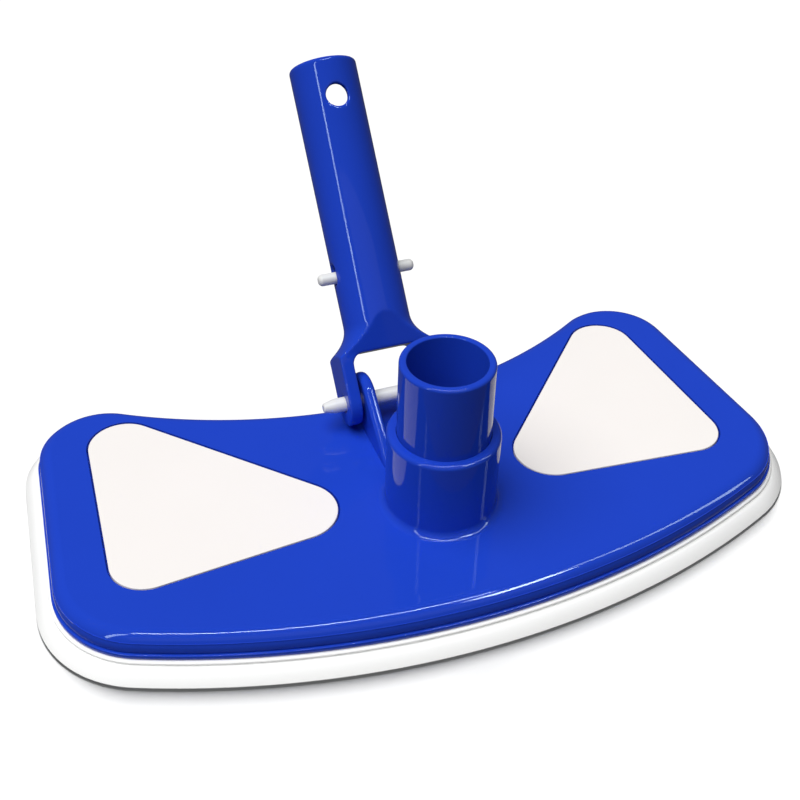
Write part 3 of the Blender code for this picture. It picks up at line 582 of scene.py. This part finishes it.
for side in ("left", "right"):
    for number in (1, 2, 3, 4):
        low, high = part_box(f"base_screw_{side}_{number}")
        place = ((low.x + high.x) / 2, (low.y + high.y) / 2, low.z)
        screw = copy_at(first_screw, f"screw_{side}_{number}", place)
        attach(screw, "head")
        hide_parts(f"base_screw_{side}_{number}")
bpy.data.objects.remove(first_screw, do_unlink=True)

# ================================================================ hose swivel
# The upper tube of the port turns in the collar. It is a plain blue moulding with a rounded rim,
# a groove for its seal and a flange at its foot, under the plate, that the ring holds up.

SWIVEL_LOW, SWIVEL_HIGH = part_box("hose_swivel")
SWIVEL_BORE_R, SWIVEL_RIM_R, SWIVEL_FOOT_R = 0.0156, 0.0186, 0.0189
RIM_ROUND, MOUTH_ROUND = 0.0013, 0.0006
FLANGE_HEIGHT = 0.0022
SEAL_GROOVE_HALF, SEAL_GROOVE_DEPTH = 0.0014, 0.0016
seal_z = sum(corner.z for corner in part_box("swivel_seal")) / 2
flange_r = SWIVEL_HIGH.x
flange_top = SWIVEL_LOW.z + FLANGE_HEIGHT
wall = [(flange_r, SWIVEL_LOW.z), (flange_r, flange_top), (SWIVEL_FOOT_R, flange_top)]
groove_r = SWIVEL_FOOT_R - SEAL_GROOVE_DEPTH
groove_low, groove_high = seal_z - SEAL_GROOVE_HALF, seal_z + SEAL_GROOVE_HALF
wall += [(SWIVEL_FOOT_R, groove_low), (groove_r, groove_low)]
wall += [(groove_r, groove_high), (SWIVEL_FOOT_R, groove_high)]
wall += [(SWIVEL_FOOT_R, COLLAR_TOP)]
wall += [(SWIVEL_RIM_R - RIM_ROUND + r, SWIVEL_HIGH.z - RIM_ROUND + z)
         for r, z in arc((0, 0), RIM_ROUND, 0, math.pi / 2, steps=8)]
wall += [(SWIVEL_BORE_R + MOUTH_ROUND - r, SWIVEL_HIGH.z - MOUTH_ROUND + z)
         for r, z in arc((0, 0), MOUTH_ROUND, math.pi / 2, 0, steps=5)]
wall += [(SWIVEL_BORE_R, SWIVEL_LOW.z)]
swivel = turned("swivel_tube", wall, (0, PORT_Y, 0), (0, 0, 1), PORT_STEPS)
smooth_finish(swivel)
swivel.data.materials.append(blue_gloss)
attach(swivel, "hose_swivel")
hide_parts("hose_swivel")
rubber = plastic("black seal rubber", (0.02, 0.02, 0.02), 0.6, grain=1200.0, relief=0.1)
dress("swivel_seal", rubber)

# ================================================================ handle
# One blue moulding: a hollow tube that a pole slides over, spreading into a yoke of two flat arms
# that straddle the hinge lugs. It has a locking hole near its end, a scoop out of the end's rear
# side, and a slot each side for the spring buttons. Here s runs up the tube from the hinge pin.

LEAN = math.radians(39.36)
TUBE_R, TUBE_BORE_R, TUBE_LENGTH = 0.01495, 0.0120, 0.1475
END_ROUND = 0.0014
ARM_INNER_X, ARM_OUTER_X, ARM_R = 0.0167, 0.0223, 0.0100
YOKE_TOP, YOKE_CORNER_R = 0.0202, 0.0050
SHOULDER_R, SHOULDER_LOW, SHOULDER_HIGH = 0.0255, 0.0190, 0.0330
SHOULDER_STEPS, SHOULDER_SWEEP = 16, 2.2
FACE_SLOPE = 0.312
HANDLE_STEPS = 128
BORE_START, BORE_CHAMFER = 0.0320, 0.0040
LOCK_HOLE_S, LOCK_HOLE_R = 0.1304, 0.0049
LOCK_HOLE_Y, LOCK_HOLE_DEPTH = -0.0170, 0.0260
SCOOP_S, SCOOP_HALF, SCOOP_CORNER, SCOOP_Y = 0.1280, 0.0115, 0.0080, 0.0020
BUTTON_S, SLOT_R, SLOT_TOP = 0.0547, 0.0031, 0.0607
SLOT_CORNER = SLOT_R * 0.95
PAST_END = 0.2  # further up than the handle reaches
VOXEL = 0.00058  # the walls are melted into one at this grain, which rounds every edge
SOFTENING = 7


def rounded_slot(half_width, low, high, corner):
    """An upright rectangle with rounded corners."""
    points = arc((half_width - corner, high - corner), corner, 0, math.pi / 2, steps=10)
    points += arc((-half_width + corner, high - corner), corner, math.pi / 2, math.pi, steps=10)
    points += arc((-half_width + corner, low + corner), corner, math.pi, 1.5 * math.pi, steps=10)
    points += arc((half_width - corner, low + corner), corner, 1.5 * math.pi, math.tau, steps=10)
    return points


def set_on_hinge(piece):
    """Turns a piece made upright at the origin to the handle's lean, and puts it on the pin."""
    bpy.ops.object.select_all(action="DESELECT")
    piece.select_set(True)
    bpy.context.view_layer.objects.active = piece
    piece.rotation_euler = (-LEAN, 0, 0)
    piece.location = PIVOT
    bpy.ops.object.transform_apply(location=True, rotation=True, scale=True)


half_section = [(0, -SHOULDER_R), (SHOULDER_R, -SHOULDER_R), (SHOULDER_R, SHOULDER_LOW)]
for step in range(1, SHOULDER_STEPS + 1):
    part = step / SHOULDER_STEPS
    radius = TUBE_R + (SHOULDER_R - TUBE_R) * (1 - part) ** SHOULDER_SWEEP
    half_section.append((radius, SHOULDER_LOW + (SHOULDER_HIGH - SHOULDER_LOW) * part))
half_section += [(TUBE_R - END_ROUND + r, TUBE_LENGTH - END_ROUND + z)
                 for r, z in arc((0, 0), END_ROUND, 0, math.pi / 2, steps=6)]
half_section += [(0, TUBE_LENGTH)]
handle = turned("handle_moulding", half_section, (0, 0, 0), (0, 0, 1), HANDLE_STEPS)
spread = (SHOULDER_R - ARM_R) / FACE_SLOPE
side_view = arc((0, 0), ARM_R, math.pi, math.tau, steps=24)
side_view += [(ARM_R, YOKE_TOP), (SHOULDER_R, YOKE_TOP + spread), (SHOULDER_R, PAST_END)]
side_view += [(-SHOULDER_R, PAST_END), (-SHOULDER_R, YOKE_TOP + spread), (-ARM_R, YOKE_TOP)]
sides = extruded("sides", [(-ARM_OUTER_X, y, z) for y, z in side_view], (2 * ARM_OUTER_X, 0, 0))
combine(handle, sides, "INTERSECT")
gap = rounded_slot(ARM_INNER_X, -0.02, YOKE_TOP, YOKE_CORNER_R)
combine(handle, extruded("gap", [(x, -0.03, z) for x, z in gap], (0, 0.06, 0)), "DIFFERENCE")
bpy.ops.mesh.primitive_cylinder_add(vertices=64, radius=PIN_HOLE_R, depth=0.1,
                                    rotation=(0, math.pi / 2, 0))
combine(handle, bpy.context.object, "DIFFERENCE")
side_slot = rounded_slot(SLOT_R, BUTTON_S - SLOT_R, SLOT_TOP, SLOT_CORNER)
combine(handle, extruded("slot", [(-0.03, y, z) for y, z in side_slot], (0.06, 0, 0)), "DIFFERENCE")
bpy.ops.mesh.primitive_cylinder_add(vertices=64, radius=LOCK_HOLE_R, depth=LOCK_HOLE_DEPTH,
                                    location=(0, LOCK_HOLE_Y, LOCK_HOLE_S),
                                    rotation=(math.pi / 2, math.pi / 64, 0))
combine(handle, bpy.context.object, "DIFFERENCE")
scoop = rounded_slot(SCOOP_HALF, SCOOP_S, 0.17, SCOOP_CORNER)
combine(handle, extruded("scoop", [(x, SCOOP_Y, z) for x, z in scoop], (0, 0.03, 0)), "DIFFERENCE")
bore_section = [(0, BORE_START), (TUBE_BORE_R - BORE_CHAMFER, BORE_START),
                (TUBE_BORE_R, BORE_START + BORE_CHAMFER), (TUBE_BORE_R, 0.16), (0, 0.16)]
pole_bore = turned("bore", bore_section, (0, 0, 0), (0, 0, 1), HANDLE_STEPS)
combine(handle, pole_bore, "DIFFERENCE")
modifier = handle.modifiers.new("Melt", "REMESH")
modifier.mode = "VOXEL"
modifier.voxel_size = VOXEL
bpy.context.view_layer.objects.active = handle
bpy.ops.object.modifier_apply(modifier=modifier.name)
modifier = handle.modifiers.new("Soften", "SMOOTH")
modifier.factor = 0.5
modifier.iterations = SOFTENING
bpy.ops.object.modifier_apply(modifier=modifier.name)
set_on_hinge(handle)
bpy.ops.object.shade_smooth()
handle.data.materials.append(blue_gloss)
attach(handle, "handle")
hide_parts("handle")

# ================================================================ hinge pin
# A white nylon rod goes through both arms and both lugs. One end has a low round head, and the
# other is tapered so that it starts easily when it is pushed through.

PIN_LOW, PIN_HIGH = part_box("pivot_pin")
PIN_R, PIN_TIP_R = 0.0032, 0.0016
PIN_HEAD_R = PIN_HIGH.z - PIVOT.z
head_x = ARM_OUTER_X + HAIR
pin_line = [(0, PIN_LOW.x), (PIN_TIP_R, PIN_LOW.x), (PIN_TIP_R + 0.0005, PIN_LOW.x + 0.0004),
            (PIN_R - 0.0001, PIN_LOW.x + 0.0048), (PIN_R, PIN_LOW.x + 0.0056), (PIN_R, head_x),
            (PIN_HEAD_R, head_x), (PIN_HEAD_R, PIN_HIGH.x - 0.0010),
            (PIN_HEAD_R - 0.0004, PIN_HIGH.x - 0.0004),
            (PIN_HEAD_R - 0.0012, PIN_HIGH.x), (0, PIN_HIGH.x)]
pin = turned("hinge_pin", pin_line, (0, PIVOT.y, PIVOT.z), (1, 0, 0), steps=48)
smooth_finish(pin)
nylon = plastic("natural white nylon", (0.80, 0.80, 0.78), 0.38, mottle=0.03, grain=600.0,
                relief=0.05)
pin.data.materials.append(nylon)
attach(pin, "head")
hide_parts("pivot_pin")

# ================================================================ spring clip
# A bent nylon strip inside the tube pushes a round-nosed button out through each side slot. A
# pole's side holes snap over the buttons.

BUTTON_R, BUTTON_NOSE = 0.0026, 0.0019
BUTTON_TIP, FLANGE_X = 0.0221, 0.0084
FLANGE_R, FLANGE_T = 0.0042, 0.0015
for side, word in ((-1, "left"), (1, "right")):
    line = [(0, FLANGE_X), (FLANGE_R, FLANGE_X)]
    line += [(FLANGE_R, FLANGE_X + FLANGE_T), (BUTTON_R, FLANGE_X + FLANGE_T)]
    line += [(BUTTON_R - BUTTON_NOSE + r, BUTTON_TIP - BUTTON_NOSE + x)
             for r, x in arc((0, 0), BUTTON_NOSE, 0, math.pi / 2, steps=8)]
    line += [(0, BUTTON_TIP)]
    button = turned("button_" + word, [(r, side * x) for r, x in line], (0, 0, BUTTON_S),
                    (1, 0, 0), steps=32)
    set_on_hinge(button)
    smooth_finish(button)
    button.data.materials.append(nylon)
    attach(button, "clip_button_" + word)
    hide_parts("clip_button_" + word)

SPRING_T, SPRING_HALF_WIDTH = 0.0008, 0.0040
LEG_BELOW, LEG_ABOVE = 0.0050, 0.0060
BEND_S, BEND_R = BUTTON_S + 0.0330, 0.0036
LEG_STEPS = 9
leg_x = FLANGE_X - HAIR - SPRING_T / 2


def spring_half(side, word):
    """One leg of the strip and its half of the bend."""
    path = [Vector((leg_x, BUTTON_S - LEG_BELOW))]
    for step in range(LEG_STEPS):
        part = step / LEG_STEPS
        path.append(Vector((leg_x + (BEND_R - leg_x) * part,
                            BUTTON_S + LEG_ABOVE + (BEND_S - BUTTON_S - LEG_ABOVE) * part)))
    path += [Vector(point) for point in arc((0, BEND_S), BEND_R, 0, math.pi / 2, steps=6)]
    outer, inner = [], []
    for index, point in enumerate(path):
        along = (path[min(index + 1, len(path) - 1)] - path[max(index - 1, 0)]).normalized()
        across = Vector((along.y, -along.x)) * SPRING_T / 2
        outer.append(point + across)
        inner.append(point - across)
    outline = [(side * x, -SPRING_HALF_WIDTH, z) for x, z in outer + inner[::-1]]
    leg = extruded("spring_leg_" + word, outline, (0, 2 * SPRING_HALF_WIDTH, 0))
    set_on_hinge(leg)
    smooth_finish(leg, angle=40)
    leg.data.materials.append(nylon)
    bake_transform(leg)
    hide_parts("clip_spring")


spring_half(-1, "left")
spring_half(1, "right")

# ================================================================ floor, light and camera
# White paper under the head, a broad soft key light from above, and a rear light that only draws
# the shadow on the paper. A fill lifts the bumper's front, and soft boxes draw the bright lines.

bpy.ops.object.select_all(action="DESELECT")
bpy.ops.mesh.primitive_plane_add(size=30)
floor = bpy.context.object
floor.name = "studio_floor"
paper = bpy.data.materials.new("studio paper")
paper.use_nodes = True
paper_shader = paper.node_tree.nodes["Principled BSDF"]
paper_shader.inputs["Base Color"].default_value = (0.95, 0.95, 0.945, 1)
paper_shader.inputs["Roughness"].default_value = 0.9
paper_shader.inputs["Specular IOR Level"].default_value = 0.0
floor.data.materials.append(paper)
floor.visible_glossy = False
floor.visible_diffuse = False


def sun(name, way, strength, spread):
    """A soft light from the direction way."""
    bpy.ops.object.light_add(type="SUN", location=Vector(way) * 2)
    light = bpy.context.object
    light.name = name
    light.rotation_mode = "QUATERNION"
    light.rotation_quaternion = Vector(way).to_track_quat("Z", "Y")
    light.data.energy = strength
    light.data.angle = math.radians(spread)
    return light


def soft_box(name, place, aim, length, width, energy):
    """A rectangular light at place, turned to face aim, its length level."""
    bpy.ops.object.light_add(type="AREA", location=place)
    light = bpy.context.object
    light.name = name
    light.rotation_mode = "QUATERNION"
    light.rotation_quaternion = (Vector(place) - Vector(aim)).to_track_quat("Z", "Y")
    light.data.shape = "RECTANGLE"
    light.data.size, light.data.size_y = length, width
    light.data.energy = energy
    return light


def group_of(name, pieces):
    """A collection of pieces that a light reaches, or is shaded by."""
    group = bpy.data.collections.new(name)
    for piece in pieces:
        group.objects.link(piece)
    return group


key = sun("key", (-0.33, -0.05, 0.94), strength=3.3, spread=55)
key.visible_glossy = False
front_fill = sun("front_fill", (-0.15, -0.80, 0.58), strength=0.50, spread=40)
rear = sun("rear", (0.12, 0.60, 0.79), strength=4.1, spread=24)
overhead = soft_box("overhead_strip", (-0.06, -0.17, 1.0), (-0.06, -0.171, 0), length=0.80,
                    width=0.035, energy=5.5)
right = soft_box("right_strip", (0.85, -0.35, 0.75), (0, 0, 0.03), length=0.12, width=0.9,
                 energy=3.4)
lug_card = soft_box("lug_card", (0.44, -0.48, 1.0), (0, 0, 0.03), length=0.30, width=0.16,
                    energy=6.0)
left = soft_box("left_strip", (-0.84, -0.42, 0.70), (0, 0, 0.05), length=0.07, width=0.9,
                energy=2.4)
card = soft_box("front_card", (-0.10, -0.90, 0.85), (0, 0, 0.05), length=1.6, width=0.5,
                energy=0.6)

# The paper takes only the rear light, so it stays white but for the shadow of the low pieces.
rear.light_linking.receiver_collection = group_of("just_floor", [floor])
front_fill.light_linking.receiver_collection = group_of("just_bumper", [bumper])
all_but_floor = group_of("all_but_floor", [floor])
all_but_floor.collection_objects[0].light_linking.link_state = "EXCLUDE"
for light in (key, overhead, left, card):
    light.light_linking.receiver_collection = all_but_floor
just_shell = group_of("just_shell", [shell])
for light in (right, lug_card):
    light.light_linking.receiver_collection = just_shell
for light in (overhead, right, left, lug_card):
    light.data.color = (0.72, 0.93, 1.0)
    light.visible_diffuse = False
rear.light_linking.blocker_collection = group_of("low_pieces", [shell, bumper])

world = bpy.data.worlds.new("studio")
bpy.context.scene.world = world
world.use_nodes = True
tree = world.node_tree
tree.nodes.clear()
seen = tree.nodes.new("ShaderNodeBackground")
seen.inputs["Color"].default_value = (1, 1, 0.99, 1)
seen.inputs["Strength"].default_value = 1.0
room = tree.nodes.new("ShaderNodeBackground")
room.inputs["Color"].default_value = (0.95, 0.97, 1, 1)
room.inputs["Strength"].default_value = 0.10
ray = tree.nodes.new("ShaderNodeLightPath")
choice = tree.nodes.new("ShaderNodeMixShader")
out = tree.nodes.new("ShaderNodeOutputWorld")
tree.links.new(ray.outputs["Is Camera Ray"], choice.inputs[0])
tree.links.new(room.outputs[0], choice.inputs[1])
tree.links.new(seen.outputs[0], choice.inputs[2])
tree.links.new(choice.outputs[0], out.inputs[0])

azimuth, elevation, roll = math.radians(-21.648), math.radians(38.275), math.radians(1.472)
back = Vector((math.sin(azimuth) * math.cos(elevation), -math.cos(azimuth) * math.cos(elevation),
               math.sin(elevation)))
bpy.ops.object.camera_add(location=(-0.14557, PORT_Y - 0.31897, 0.34555))
camera = bpy.context.object
camera.rotation_mode = "QUATERNION"
camera.rotation_quaternion = (-back).to_track_quat("-Z", "Y") @ Quaternion((0, 0, 1), roll)
camera.data.sensor_width = 36.0
camera.data.lens = 52.142
bpy.context.scene.camera = camera
bpy.context.scene.view_settings.view_transform = "Standard"
